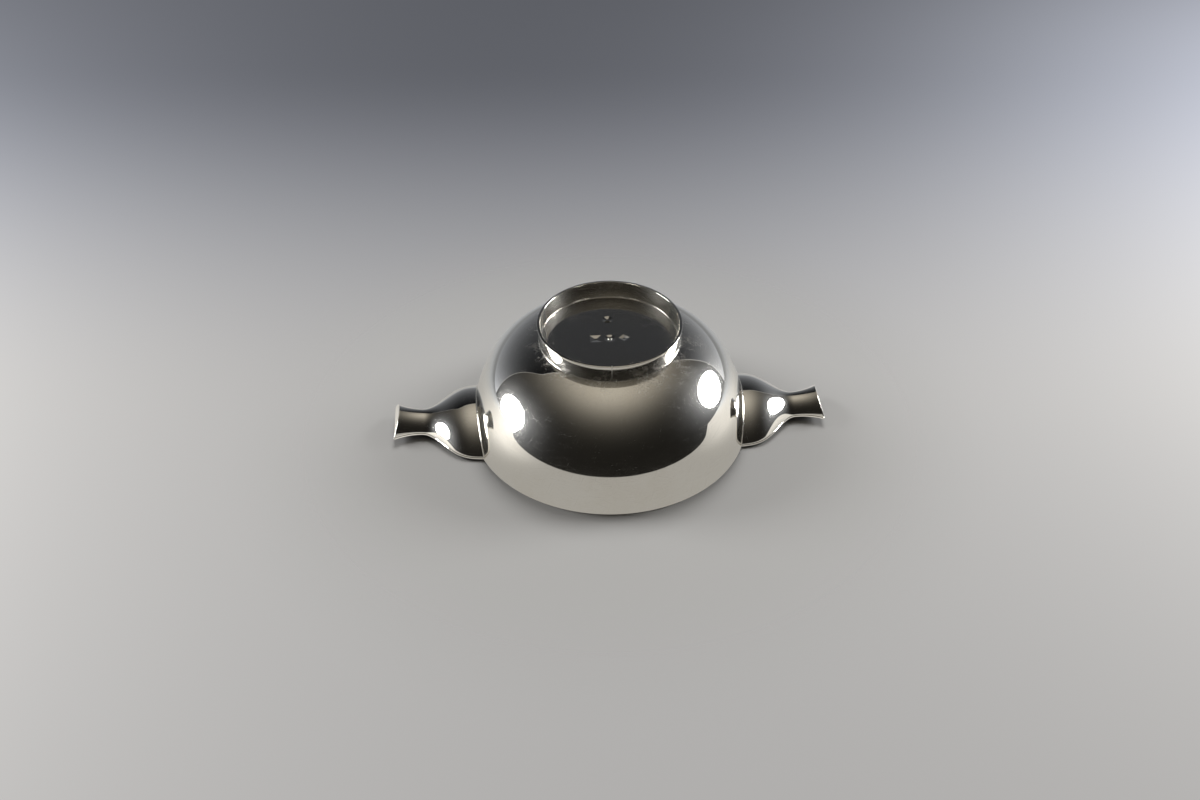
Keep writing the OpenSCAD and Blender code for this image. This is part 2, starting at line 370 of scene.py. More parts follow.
def close_up(piece):
    """Merges doubles and turns the faces outwards."""
    with editing(piece):
        bpy.ops.mesh.remove_doubles(threshold=MERGE)
        bpy.ops.mesh.normals_make_consistent(inside=False)


def flip(piece):
    """Turns every face the other way."""
    with editing(piece):
        bpy.ops.mesh.flip_normals()


class Outline:
    """An outline drawn stroke by stroke in the plane of X and Z, and then turned about Z."""

    TURN_STEPS = 256

    def __init__(self, name, x, z):
        deselect()
        bpy.ops.mesh.primitive_plane_add(size=MM)
        self.piece = name_new(name)
        bpy.ops.object.mode_set(mode="EDIT")
        bpy.ops.mesh.select_all(action="SELECT")
        bpy.ops.mesh.merge(type="CENTER")
        bpy.ops.transform.translate(value=(x, 0, z))
        self.at = Vector((x, 0, z))

    def line(self, x, z, steps=1):
        """A straight stroke to a point."""
        stroke = (Vector((x, 0, z)) - self.at) / steps
        for _ in range(steps):
            bpy.ops.mesh.extrude_region_move(TRANSFORM_OT_translate={"value": stroke})
        self.at = Vector((x, 0, z))

    def arc(self, x, z, turn, steps):
        """A round stroke about a centre, anticlockwise as seen with X to the right and Z up."""
        centre = Vector((x, 0, z))
        bpy.ops.mesh.spin(steps=steps, angle=turn, center=centre, axis=(0, 1, 0))
        self.at = centre + Matrix.Rotation(-turn, 3, "Y") @ (self.at - centre)

    def corner(self, x, z, next_x, next_z, radius, steps):
        """A straight stroke towards a corner, and a round turn there towards the next point."""
        corner = Vector((x, 0, z))
        ahead = (corner - self.at).normalized()
        onward = (Vector((next_x, 0, next_z)) - corner).normalized()
        turn = math.atan2(ahead.x * onward.z - ahead.z * onward.x, ahead.dot(onward))
        start = corner - ahead * radius * math.tan(abs(turn) / 2)
        centre = start + math.copysign(radius, turn) * Vector((-ahead.z, 0, ahead.x))
        self.line(start.x, start.z)
        self.arc(centre.x, centre.z, turn, steps)

    def turned(self):
        """Spins the outline into a closed piece."""
        bpy.ops.mesh.select_all(action="SELECT")
        bpy.ops.mesh.spin(steps=self.TURN_STEPS, angle=2 * math.pi, center=(0, 0, 0),
                          axis=(0, 0, 1))
        bpy.ops.object.mode_set(mode="OBJECT")
        close_up(self.piece)
        return self.piece


def sheet(name, across, along, place, outward):
    """A grid whose corners go to place(share across, share along), facing outward."""
    deselect()
    bpy.ops.mesh.primitive_grid_add(x_subdivisions=across, y_subdivisions=along, size=2)
    piece = name_new(name)
    for corner in piece.data.vertices:
        corner.co = place((corner.co.x + 1) / 2, (corner.co.y + 1) / 2)
    close_up(piece)
    if sum(face.area * face.normal.dot(outward) for face in piece.data.polygons) < 0:
        flip(piece)
    return piece


def shell(name, across, along, outer, inner, outward):
    """A closed wall between two grids, whose corners go to outer and inner of the same shares."""
    piece = join(sheet(name, across, along, outer, outward),
                 sheet(f"{name}_inside", across, along, inner, -outward))
    with editing(piece, "DESELECT"):
        bpy.ops.mesh.select_mode(type="EDGE")
        bpy.ops.mesh.select_non_manifold()
        bpy.ops.mesh.bridge_edge_loops()
    close_up(piece)
    return piece


def half_turned(piece, name):
    """A copy with its own mesh, turned half round the bowl's axis."""
    pick(piece)
    bpy.ops.object.duplicate(linked=False)
    copy = name_new(name)
    move(copy, math.pi)
    return copy


def dress(piece, node, material, is_flat=None):
    """Smooths a finished piece, apart from its flat faces, gives it its metal and puts it in the
    CAD node's place."""
    pick(piece)
    bpy.ops.object.shade_smooth_by_angle(angle=SHARP)
    for face in piece.data.polygons:
        if is_flat and is_flat(face):
            face.use_smooth = False
    modify(piece, "WEIGHTED_NORMAL", keep_sharp=True, weight=50)
    piece.data.materials.clear()
    piece.data.materials.append(material)
    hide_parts(node)
    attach(piece, BODY)


# Shader nodes as expressions

def arithmetic(operation):
    """An operator of a wire, and its reflected form for when the wire stands second."""
    def plain(self, other):
        return self.math(operation, self, other)

    def reflected(self, other):
        return self.math(operation, other, self)

    return plain, reflected


class Wire:
    """A value in a node tree: arithmetic on it adds Math nodes."""

    def __init__(self, nodes, socket):
        self.nodes = nodes
        self.socket = socket

    def math(self, operation, *values):
        return self.nodes.add("ShaderNodeMath", {"operation": operation}, dict(enumerate(values)))

    __add__, __radd__ = arithmetic("ADD")
    __sub__, __rsub__ = arithmetic("SUBTRACT")
    __mul__, __rmul__ = arithmetic("MULTIPLY")
    __truediv__, __rtruediv__ = arithmetic("DIVIDE")
    __pow__, __rpow__ = arithmetic("POWER")

    def __abs__(self):
        return self.math("ABSOLUTE", self)


class Nodes:
    """A node tree that starts empty and is filled by one method."""

    def __init__(self, tree):
        self.tree = tree
        tree.nodes.clear()

    def add(self, kind, settings=None, sockets=None, out=0):
        """Adds a node, sets it up, fills its sockets and returns one of its outputs."""
        node = self.tree.nodes.new(kind)
        for setting, value in (settings or {}).items():
            setattr(node, setting, value)
        for socket, value in (sockets or {}).items():
            if isinstance(value, Wire):
                self.tree.links.new(value.socket, node.inputs[socket])
            else:
                node.inputs[socket].default_value = value
        return Wire(self, node.outputs[out]) if len(node.outputs) else None

    def place(self):
        """A place on the piece, in its own frame."""
        return self.add("ShaderNodeTexCoord", out="Object")

    def parts(self, vector):
        """The three values of a vector."""
        node = self.add("ShaderNodeSeparateXYZ", None, {"Vector": vector}).socket.node
        return [Wire(self, output) for output in node.outputs]

    def scaled(self, tint, amount):
        """A tint times an amount of light."""
        return self.add("ShaderNodeVectorMath", {"operation": "SCALE"}, {0: tint, "Scale": amount})

    def smooth(self, value, low, high):
        """A soft step from 0 at low to 1 at high."""
        return self.add("ShaderNodeMapRange", {"interpolation_type": "SMOOTHSTEP"},
                        {"Value": value, "From Min": low, "From Max": high})

    def mix(self, share, a, b):
        """A colour between two others."""
        return self.add("ShaderNodeMix", {"data_type": "RGBA"}, {0: share, 6: a, 7: b}, out=2)

    def noise(self, vector, scale, detail=2.0, roughness=0.5):
        return self.add("ShaderNodeTexNoise", None, {
            "Vector": vector, "Scale": scale, "Detail": detail, "Roughness": roughness})

    def bump(self, height):
        """The normal of a surface with this height, in metres."""
        return self.add("ShaderNodeBump", None,
                        {"Strength": 1.0, "Distance": 1.0, "Height": height}, out="Normal")

    def metallic(self, tone, roughness, normal):
        return self.add("ShaderNodeBsdfPrincipled", None, {
            "Base Color": tone, "Metallic": 1.0, "Roughness": roughness, "Normal": normal})

    def blend(self, share, a, b):
        """A surface between two others."""
        return self.add("ShaderNodeMixShader", None, {0: share, 1: a, 2: b})

    def show(self, surface):
        """Ends a material with its surface."""
        self.add("ShaderNodeOutputMaterial", None, {"Surface": surface})


def new_material(name):
    """A material of that name and its node tree."""
    material = bpy.data.materials.new(name)
    material.use_nodes = True
    return material, Nodes(material.node_tree)


def opaque(rgb):
    """A colour with its alpha."""
    return (*rgb, 1.0)


def on_axes(x, y, turn):
    """A place on a pair of axes that is turned by an angle."""
    return x * math.cos(turn) + y * math.sin(turn), y * math.cos(turn) - x * math.sin(turn)


def axis_distance(x, y):
    """Distance from the bowl's axis."""
    return (x * x + y * y) ** 0.5


# The metal's finish

# Polishing strokes: a slant in degrees, a weight, and the height from which a streak scores
STROKES = ((0, 1.6, 0.58), (28, 1.0, 0.60), (-34, 1.0, 0.60), (75, 0.7, 0.60))
STROKE_R = 30 * MM
SCORE_RISE = 0.12
WAVE_SCALE = 140.0
SMEAR_SCALE = 60.0
SMEAR_STEP = (0.42, 0.68)
SMEAR_TARNISH = 0.5
SMEAR_BLUR = 0.02

# Shares of the haze
SMEAR_HAZE = 0.6
SCORE_HAZE = 3.0
EVEN_HAZE = 0.25
MARK_HAZE = 9.0

# Old polish round the foot, and the foot's seam and inside
RESIDUE_RISE = (18.5 * MM, 19.5 * MM)
RESIDUE_FALL = (20.5 * MM, 27 * MM)
RESIDUE_SCALE = 190.0
RESIDUE_STEP = (0.46, 0.66)
SEAM_TURN = math.radians(-1.5)
SEAM_EDGE = (0.06 * MM, 0.22 * MM)
INSIDE_START = 0.6
INSIDE_FULL = 0.85

# Solder, whose grain is this many scratches deep
SOLDER_DEPTH = 4
SOLDER_SCALE = 900.0
SOLDER_STAIN = (0.4, 0.7)
SOLDER_BLUR = 0.16
SOLDER_GRAIN_BLUR = 0.12


def metal_place(nodes, turned):
    """A place on the metal, and two lengths: along the polishing strokes and across them."""
    place = nodes.place()
    x, y, z = nodes.parts(place)
    if not turned:
        return place, x, y + z
    return place, x.math("ARCTAN2", y, x) * STROKE_R, axis_distance(x, y) + z


def scratches(nodes, along, across, stroke, width, slant):
    """Fine streaks of a stroke's length and width, at a slant to the polishing direction."""
    straight = math.cos(slant)
    leaning = math.sin(slant)
    length_wise = (along * straight + across * leaning) / stroke
    width_wise = (across * straight - along * leaning) / width
    place = nodes.add("ShaderNodeCombineXYZ", None, {"X": length_wise, "Y": width_wise})
    return nodes.noise(place, 1.0, detail=3.0, roughness=0.6)


def residue(nodes, place):
    """Old polish left on the underside of the bowl, in patches round the foot."""
    x, y, _ = nodes.parts(place)
    facing = nodes.parts(nodes.add("ShaderNodeNewGeometry", out="Normal"))[2]
    radius = axis_distance(x, y)
    near_foot = (nodes.smooth(radius, *RESIDUE_RISE)
                 * (1 - nodes.smooth(radius, *RESIDUE_FALL)))
    patches = nodes.noise(place, RESIDUE_SCALE, detail=5.0, roughness=0.7)
    return near_foot * nodes.smooth(patches, *RESIDUE_STEP) * nodes.smooth(facing, 0.0, -0.2)


def foot_marks(nodes, place):
    """Two shares on the foot ring: its brushed inside, and the seam where the strip's ends meet."""
    scene = bpy.context.scene
    foot = scene.quaich_foot
    x, y, z = nodes.parts(place)
    outer_r = axis_distance(x, y) + z * math.tan(foot.inner_flare)
    inside = nodes.smooth(foot.diameter / 2 - outer_r, INSIDE_START * foot.strip,
                          INSIDE_FULL * foot.strip)
    beside, ahead = on_axes(x, y, scene.quaich_stage.camera_turn + SEAM_TURN)
    seam = (1 - nodes.smooth(abs(beside), *SEAM_EDGE)) * nodes.smooth(ahead, 0.0, MM)
    return inside, seam


def silver(name, finish, turned, kind="plain", stroke=7 * MM, width=0.24 * MM):
    """Polished silver with a little haze, fine scratches and slow hammer waves. A bowl has old
    polish round its foot as well, and a foot is brushed inside and has a seam."""
    material, nodes = new_material(name)
    place, along, across = metal_place(nodes, turned)
    scratch = 0.0
    scored = 0.0
    for slant, weight, score in STROKES:
        streak = scratches(nodes, along, across, stroke, width, math.radians(slant))
        scratch = scratch + streak * weight
        scored = scored + nodes.smooth(streak, score, score + SCORE_RISE)
    scratch = scratch / sum(weight for slant, weight, score in STROKES)
    waves = nodes.noise(place, WAVE_SCALE, detail=1.0)
    smear = nodes.smooth(nodes.noise(place, SMEAR_SCALE, detail=4.0, roughness=0.6), *SMEAR_STEP)
    wear = 1.0
    dull = smear * SMEAR_HAZE + scored * SCORE_HAZE + EVEN_HAZE
    if kind == "bowl":
        dull = dull + residue(nodes, place) * MARK_HAZE
    if kind == "foot":
        inside, seam = foot_marks(nodes, place)
        wear = inside * (finish.foot_wear - 1) + 1
        dull = dull + seam * MARK_HAZE
    normal = nodes.bump(scratch * wear * wear * finish.scratch + waves * finish.planish)
    tone = nodes.mix(smear * SMEAR_TARNISH, opaque(finish.silver), opaque(finish.tarnish))
    bright = nodes.metallic(tone, smear * SMEAR_BLUR + finish.polish * wear, normal)
    hazy = nodes.metallic(tone, finish.haze_spread, normal)
    nodes.show(nodes.blend(dull * wear * finish.haze, bright, hazy))
    return material


def silver_solder(finish):
    """Solder, a little greyer and softer than the sheet."""
    material, nodes = new_material("silver_solder")
    grain = nodes.noise(nodes.place(), SOLDER_SCALE, detail=3.0)
    normal = nodes.bump(grain * (SOLDER_DEPTH * finish.scratch))
    stain = nodes.smooth(grain, *SOLDER_STAIN)
    tone = nodes.mix(stain, opaque(finish.solder), opaque(finish.tarnish))
    nodes.show(nodes.metallic(tone, SOLDER_BLUR + grain * SOLDER_GRAIN_BLUR, normal))
    return material


def metal(kind):
    """The metal of that name, made once."""
    finish = bpy.context.scene.quaich_finish
    makers = {
        "turned_silver": lambda: silver("turned_silver", finish, True, "bowl"),
        "drawn_silver": lambda: silver("drawn_silver", finish, False),
        "worn_silver": lambda: silver("worn_silver", finish, True, "foot", 6 * MM, 0.06 * MM),
        "silver_solder": lambda: silver_solder(finish),
    }
    return bpy.data.materials.get(kind) or makers[kind]()


# Pieces

class QUAICH_OT_bowl(Operator):
    """Draws the bowl's section, turns it, rounds the rim and punches plain marks under the base"""
    bl_idname = "quaich.bowl"
    bl_label = "Bowl"

    BASE_STEPS = 6
    CURVE_STEPS = 44
    WALL_STEPS = 26
    ROUND_CORNERS = 64
    PIP_TOP = 1.4
    PUNCH_REACH = 1.1
    LEVEL = 0.9999

    def cone(self, name, corners, radius, depth, top):
        """A cone that has this radius at mid height and the share top of it at its upper end."""
        deselect()
        bpy.ops.mesh.primitive_cone_add(vertices=corners, radius1=radius * (2 - top),
                                        radius2=radius * top, depth=2 * depth)
        return name_new(name)

    def punches(self, form):
        """Cutters for a row of a square, a round with a pip and a lozenge, and for a lone round."""
        seam = form.seam
        depth = seam.punch_depth
        row = seam.punch_row_set
        half = seam.punch_w / 2
        marks = (
            ("punch_square", 4, half * math.sqrt(2), math.pi / 4, -seam.punch_pitch, row),
            ("punch_pipped", self.ROUND_CORNERS, half, 0.0, 0.0, row),
            ("punch_lozenge", 4, half, 0.0, seam.punch_pitch, row),
            ("punch_round", self.ROUND_CORNERS, half, 0.0, 0.0, row - seam.punch_lone_back),
        )
        cutters = []
        for name, corners, radius, turn, x, y in marks:
            cutter = self.cone(name, corners, radius, depth, seam.punch_floor)
            if name == "punch_pipped":
                pip = self.cone("punch_pip", corners, seam.punch_pip_w / 2, 2 * depth, self.PIP_TOP)
                cut(cutter, pip)
            move(cutter, turn, (x, y, form.base_z))
            cutters.append(cutter)
        return join(*cutters)

    def execute(self, context):
        form = Form(context.scene)
        bowl = form.bowl
        right_angle = math.pi / 2
        outline = Outline("silver_bowl", 0, form.base_z)
        outline.line(form.curve_x, form.base_z, self.BASE_STEPS)
        outline.arc(form.curve_x, form.curve_z, right_angle - form.meet, self.CURVE_STEPS)
        outline.arc(form.wall_x, form.rim_z, form.meet, self.WALL_STEPS)
        outline.line(form.mouth_r - bowl.sheet, form.rim_z)
        outline.arc(form.wall_x, form.rim_z, -form.meet, self.WALL_STEPS)
        outline.arc(form.curve_x, form.curve_z, form.meet - right_angle, self.CURVE_STEPS)
        outline.line(0, form.base_z + bowl.sheet, self.BASE_STEPS)
        piece = outline.turned()
        soften(piece, bowl.rim_round, segments=4)
        cut(piece, self.punches(form))
        floor_z = form.base_z + self.PUNCH_REACH * form.seam.punch_depth
        punched_r = form.seam.punch_lone_back + form.seam.punch_w

        def in_punch(face):
            tilted = abs(face.normal.z) < self.LEVEL
            return tilted and face.center.z < floor_z and face.center.xy.length < punched_r

        dress(piece, "bowl", metal("turned_silver"), in_punch)
        return {"FINISHED"}


class QUAICH_OT_foot_ring(Operator):
    """Draws the leaning strip of the foot with its standing edges rounded, and turns it"""
    bl_idname = "quaich.foot_ring"
    bl_label = "Foot ring"

    WALL_STEPS = 6
    EDGE_STEPS = 6

    def execute(self, context):
        form = Form(context.scene)
        foot = form.foot
        outer_r, outer_z = form.foot_top()
        inner_r, inner_z = form.foot_top(foot.strip)
        stand_r = form.foot_r(0)
        outline = Outline("silver_foot_ring", outer_r, outer_z)
        outline.line(inner_r, inner_z)
        outline.corner(stand_r - foot.strip, 0, stand_r, foot.edge_lift, foot.inner_round,
                       self.EDGE_STEPS)
        outline.corner(stand_r, foot.edge_lift, outer_r, outer_z, foot.outer_round,
                       self.EDGE_STEPS)
        outline.line(outer_r, outer_z, self.WALL_STEPS)
        dress(outline.turned(), "foot_ring", metal("worn_silver"))
        return {"FINISHED"}


class QUAICH_OT_foot_solder(Operator):
    """Runs a hollow fillet of solder round the foot's seam, outside and inside"""
    bl_idname = "quaich.foot_solder"
    bl_label = "Foot solder"

    FILLET_STEPS = 6

    def bead(self, form, name, inset, out, fillet):
        """A turned fillet in the corner of one side of the foot: out is 1 outside and -1 inside."""
        gap = form.seam.gap
        corner_r, top_z = form.foot_top(inset)
        corner = Vector((corner_r + out * gap, 0, top_z))
        foot_z = top_z - fillet
        on_foot = Vector((form.foot_r(foot_z, inset) + out * gap, 0, foot_z))
        bowl_r = corner.x + out * fillet
        on_bowl = Vector((bowl_r, 0, form.bowl_z(bowl_r) - gap))
        outline = Outline(name, on_foot.x, on_foot.z)
        for step in range(1, self.FILLET_STEPS + 1):
            turn = math.pi / 2 * step / self.FILLET_STEPS
            place = (corner + (on_foot - corner) * (1 - math.sin(turn))
                     + (on_bowl - corner) * (1 - math.cos(turn)))
            outline.line(place.x, place.z)
        outline.line(corner.x, corner.z)
        outline.line(on_foot.x, on_foot.z)
        return outline.turned()

    def execute(self, context):
        form = Form(context.scene)
        outside = self.bead(form, "solder_foot", 0.0, 1, form.seam.filed)
        inside = self.bead(form, "solder_foot_inside", form.foot.strip, -1, form.seam.fillet)
        dress(join(outside, inside), "foot_solder", metal("silver_solder"))
        return {"FINISHED"}


def dress_pair(right, part, material):
    """Dresses a lug's piece on the right and its copy on the left."""
    left = half_turned(right, right.name.replace("right", "left"))
    for side, piece in zip(SIDES, (right, left)):
        dress(piece, f"{side}_lug_{part}", material)


def lug_walls(part, grid, outer, inner, outward, rounding, segments=3):
    """A silver wall of each lug between two grids, with its edges rounded."""
    piece = shell(f"silver_right_lug_{part}", *grid, outer, inner, outward)
    soften(piece, rounding, segments)
    dress_pair(piece, part, metal("drawn_silver"))


class QUAICH_OT_lug_top_plates(Operator):
    """Shapes the flat waisted top of each lug, seats it on the wall and rounds its edges"""
    bl_idname = "quaich.lug_top_plates"
    bl_label = "Lug top plates"

    GRID = (64, 24)

    def execute(self, context):
        form = Form(context.scene)

        def face(v):
            def place(along, across):
                side = 2 * across - 1
                root = form.seat(lambda u: Vector((u, side * form.lug_half_w(u), v)))
                u = root + (form.lug_len - root) * along
                return form.lug_frame @ Vector((u, side * form.lug_half_w(u), v))
            return place

        up = form.lug_frame.to_3x3() @ Vector((0, 0, 1))
        lug_walls("top_plate", self.GRID, face(0), face(-form.lug.top_sheet), up,
                  form.lug.top_round, segments=5)
        return {"FINISHED"}


class QUAICH_OT_lug_undersides(Operator):
    """Shapes the underside of each lug from two grids, seats it on the wall and closes it"""
    bl_idname = "quaich.lug_undersides"
    bl_label = "Lug undersides"

    GRID = (72, 64)

    def execute(self, context):
        form = Form(context.scene)

        def skin(grow):
            def place(along, across):
                root = form.seat(lambda u: form.lug_point(u, across, grow))
                u = root + (form.end_u(across, grow) - root) * along
                return form.lug_frame @ form.lug_point(u, across, grow)
            return place

        lug_walls("underside", self.GRID, skin(0), skin(-form.lug.under_sheet), DOWN,
                  form.lug.edge_round)
        return {"FINISHED"}


class QUAICH_OT_lug_end_plates(Operator):
    """Shapes the leaning D-shaped plate that closes each lug and rounds its edges"""
    bl_idname = "quaich.lug_end_plates"
    bl_label = "Lug end plates"

    GRID = (48, 8)

    def execute(self, context):
        form = Form(context.scene)
        grow = -form.lug.under_sheet - form.seam.gap
        top_v = -form.under_start

        def face(back):
            def place(across, down):
                edge = form.lug_point(form.end_u(across, grow, back), across, grow)
                v = top_v + (edge.z - top_v) * down
                return form.lug_frame @ Vector((form.rake_u(v, back), edge.y, v))
            return place

        lug_walls("end_plate", self.GRID, face(0), face(form.lug.end_sheet), Vector((1, 0, 0)),
                  form.lug.edge_round)
        return {"FINISHED"}


class QUAICH_OT_lug_solder(Operator):
    """Runs a hollow bead of solder round each lug's root, in the corner with the bowl"""
    bl_idname = "quaich.lug_solder"
    bl_label = "Lug solder"

    ROUND_SHARE = 0.6
    CORNER_SHARE = 0.8
    GRID = (96, 10)

    def section(self, share):
        """Shares of the way along the lug and along the bowl, round the bead's section."""
        if share <= self.ROUND_SHARE:
            turn = math.pi / 2 * share / self.ROUND_SHARE
            return 1 - math.sin(turn), 1 - math.cos(turn)
        if share <= self.CORNER_SHARE:
            return 0.0, (self.CORNER_SHARE - share) / (self.CORNER_SHARE - self.ROUND_SHARE)
        return (share - self.CORNER_SHARE) / (1 - self.CORNER_SHARE), 0.0

    def execute(self, context):
        form = Form(context.scene)
        gap = form.seam.gap
        fillet = form.seam.fillet
        wide = gap + fillet

        def place(across, round_share):
            root = form.seat(lambda u: form.lug_point(u, across, gap))
            corner = form.lug_point(root, across, gap)
            on_lug = form.lug_point(root + fillet, across, gap)
            wide_root = form.seat(lambda u: form.lug_point(u, across, wide))
            on_bowl = form.lug_point(wide_root, across, wide)
            lug_share, bowl_share = self.section(round_share)
            return form.lug_frame @ (corner + (on_lug - corner) * lug_share
                                     + (on_bowl - corner) * bowl_share)

        piece = sheet("solder_right_lug", *self.GRID, place, DOWN)
        with editing(piece, "DESELECT"):
            bpy.ops.mesh.select_non_manifold()
            bpy.ops.mesh.fill_holes(sides=0)
        close_up(piece)
        dress_pair(piece, "solder", metal("silver_solder"))
        return {"FINISHED"}


# Stage

def room_direction(azimuth, elevation, turn):
    """Direction in the part's frame of a place in the room, as seen with the bowl turned over.
    Azimuth 0 is towards the camera and grows to its right. Elevation grows away from the mouth."""
    az = math.radians(azimuth) - turn
    el = math.radians(elevation)
    return Vector((math.sin(az) * math.cos(el), math.cos(az) * math.cos(el), -math.sin(el)))


class QUAICH_OT_stage(Operator):
    """Sets the camera, the two pale floors, the soft lamps and the room that the silver mirrors"""
    bl_idname = "quaich.stage"
    bl_label = "Stage"

    CLIP_START = 0.005

    # Floors, in metres, and where each starts and ends to fade
    FLOOR_SIZE = 2.0
    FLOOR_FADE = (0.2, 0.6)
    TABLE_SIZE = 0.9
    TABLE_FADE = (0.050, 0.110)
    FLOOR_GAP = 0.05 * MM
    GRAIN_SCALE = 30.0
    GRAIN_SHARE = 0.1
    GRAIN_SHADE = 0.85
    # Painted shade: the table's tone darkens to this cool grey far off, where its light falls off
    FAR_SHADE_GREY = (0.13, 0.14, 0.16)
    FAR_SHADE_FADE = (0.0, -0.22)
    MATT = {"Roughness": 0.9, "Specular IOR Level": 0.0}

    # Lamps, with a name, an azimuth and an elevation
    SIDE_LAMPS = (("lamp_left", -90.0, 7.0), ("lamp_right", 107.0, 16.0))
    SIDE_SPREAD = math.radians(120)
    FILLS = (("fill_left", -105.0, 30.0), ("fill_right", 110.0, 30.0), ("fill_behind", 175.0, 64.0))
    FILL_REACH = 0.8
    FILL_D = 0.35
    TOP_PLACE = (0.15, -0.2, 0.9)
    TOP_SIZE = 0.8

    # The table in the silver, a painted glow of its light, where a painted lamp's spill has an
    # azimuth and a strength
    TABLE_LIGHT = 0.37
    PAINTED_SPILLS = ((-79.0, 0.6), (94.0, 0.45))
    SPILL_NARROW = 6
    SPILL_RISE = (0.034, 0.075)
    LEAST_OUT = 0.01
    LIT_BEHIND = 0.08
    LIT_RISE = (0.0, -0.03)
    DIM_BEHIND = 0.5
    DIM_RISE = (-0.03, -0.17)
    TABLE_WARM = (1.0, 0.965, 0.90)
    TABLE_COOL = (0.97, 1.0, 1.04)
    COOL_RISE = (0.0, -0.08)
    NEAR_LINE = 0.04
    EDGE_BLEND = 0.06
    EDGE_RISE = (-0.002, 0.001)
    MOUTH_RISE = 0.5 * MM

    # The far table past the disc, with painted shade far off and painted pools of lamp light, where
    # a glow has a strength, a place right and away, and a spread
    FAR_LIGHT = 0.408
    FAR_DIM = 0.312
    FAR_RISE = (1.167, 2.008)
    RIGHT_DIM = 0.048
    FAR_PAINTED_GLOWS = ((1.0, 1.489, 1.583, 0.823), (2.425, -1.952, 0.955, 0.833))
    NEAR_TINT = (1.02, 1.0, 0.98)
    FAR_TINT = (0.96, 1.0, 1.14)
    LEAST_DOWN = 0.05
    LOOK_DOWN = (-0.28, -0.34)

    # The room, where a spot has an azimuth, an elevation, a narrowness and a strength, and a band
    # of the tent over the mouth a strength and two heights
    ROOM_LIGHT = 0.010
    ROOM_TINT = (1.0, 0.92, 0.78)
    GLOW = (180, 79, 5.05, 0.44)
    GLOW_NARROW = 2.2
    HALOS = ((-90, 8, 14, 0.3), (107, 16, 14, 0.3))
    HALO_TINT = (0.97, 1.0, 1.06)
    TENT_LIGHT = 0.28
    TENT_BANDS = ((0.12, -0.66, -0.42), (0.55, -0.78, -0.97))
    TENT_SPOTS = ((115, -52, 16, 0.6), (-60, -52, 16, 0.6))
    TENT_TINT = (1.0, 0.985, 0.95)
    HORIZON = (-0.25, -0.17)

    # The sweep, whose edges have an offset, a share of the place sideways and a share of its rise
    SWEEP_EDGES = ((2.04, 1.0, -0.42), (1.41, -1.0, -0.45), (1.40, -0.43, -1.0))
    SWEEP_ROUND = 0.4
    SWEEP_RISE = (-0.02, 0.02)
    BEHIND_RISE = (0.0, 0.05)
    LEAST_DEPTH = 0.03
    SWEEP_LIGHT = 0.19
    SWEEP_FALL = 2.3
    SWEEP_MOST = 0.45
    SIDE_GAIN = 0.45
    RIGHT_GAIN = 0.9
    MOST_GAIN = 4.5
    SWEEP_TINT = (0.96, 1.0, 1.08)
    HEM_W = 0.022
    HEM_LIGHT = 0.4
    HEM_TINT = (1.0, 0.98, 0.95)

    def camera(self, stage):
        """Looks from below with its own up turned over, so that the quaich stands on its rim."""
        turn = stage.camera_turn
        tilt = stage.camera_tilt
        level = math.cos(tilt)
        right = Vector((math.cos(turn), math.sin(turn), 0))
        ahead = Vector((math.sin(turn) * level, -math.cos(turn) * level, math.sin(tilt)))
        up = right.cross(ahead)
        bpy.ops.object.camera_add(location=stage.camera)
        camera = name_new("camera")
        turned = Matrix((right, up, -ahead)).transposed().to_4x4()
        camera.matrix_world = Matrix.Translation(stage.camera) @ turned
        camera.data.lens = stage.lens
        camera.data.clip_start = self.CLIP_START
        bpy.context.scene.camera = camera

    def show_front(self, nodes, front, cover):
        """Shows the front alone, and only the share of it that is covered."""
        clear = nodes.add("ShaderNodeBsdfTransparent")
        shown = (1 - nodes.add("ShaderNodeNewGeometry", out="Backfacing")) * cover
        nodes.show(nodes.blend(shown, clear, front))

    def painted(self, nodes, tone, far=0.0):
        """A matt pale tone with a faint grain, and painted shade that turns it to a cool grey far
        off.
        """
        grain = nodes.noise(nodes.place(), self.GRAIN_SCALE, detail=3.0)
        shade = opaque(Vector(tone) * self.GRAIN_SHADE)
        paint = nodes.mix(grain * self.GRAIN_SHARE, opaque(tone), shade)
        # painted shade: far off the tone turns to a cool grey
        paint = nodes.mix(far, paint, opaque(self.FAR_SHADE_GREY))
        return nodes.add("ShaderNodeBsdfPrincipled", None, {"Base Color": paint, **self.MATT})

    def floor_finish(self, stage):
        """A pale floor round the foot that fades into the backdrop."""
        material, nodes = new_material("pale_floor")
        x, y, _ = nodes.parts(nodes.place())
        fade = 1 - nodes.smooth(axis_distance(x, y), *self.FLOOR_FADE)
        self.show_front(nodes, self.painted(nodes, stage.floor), fade)
        return material

    def painted_table_glow(self, nodes, right, nearer):
        """The table in the silver as a painted glow of its light, brighter towards the lamps and
        dimmer behind.
        """
        light = self.TABLE_LIGHT
        for azimuth, strength in self.PAINTED_SPILLS:
            beside, out = on_axes(right, nearer, -math.radians(azimuth))
            slope = beside / out.math("MAXIMUM", out, self.LEAST_OUT)
            spill = math.e ** (slope * slope * -self.SPILL_NARROW)
            light = light + spill * nodes.smooth(out, *self.SPILL_RISE) * strength
        light = light + nodes.smooth(nearer, *self.LIT_RISE) * self.LIT_BEHIND
        light = light * (1 - nodes.smooth(nearer, *self.DIM_RISE) * self.DIM_BEHIND)
        behind = nodes.smooth(nearer, *self.COOL_RISE)
        tint = nodes.mix(behind, opaque(self.TABLE_WARM), opaque(self.TABLE_COOL))
        # painted light: the table glows with the light that the lamps would give it, for the silver
        # to mirror
        return nodes.add("ShaderNodeBsdfPrincipled", None, {
            "Base Color": (0, 0, 0, 1), **self.MATT,
            "Emission Color": nodes.scaled(tint, light), "Emission Strength": 1.0})

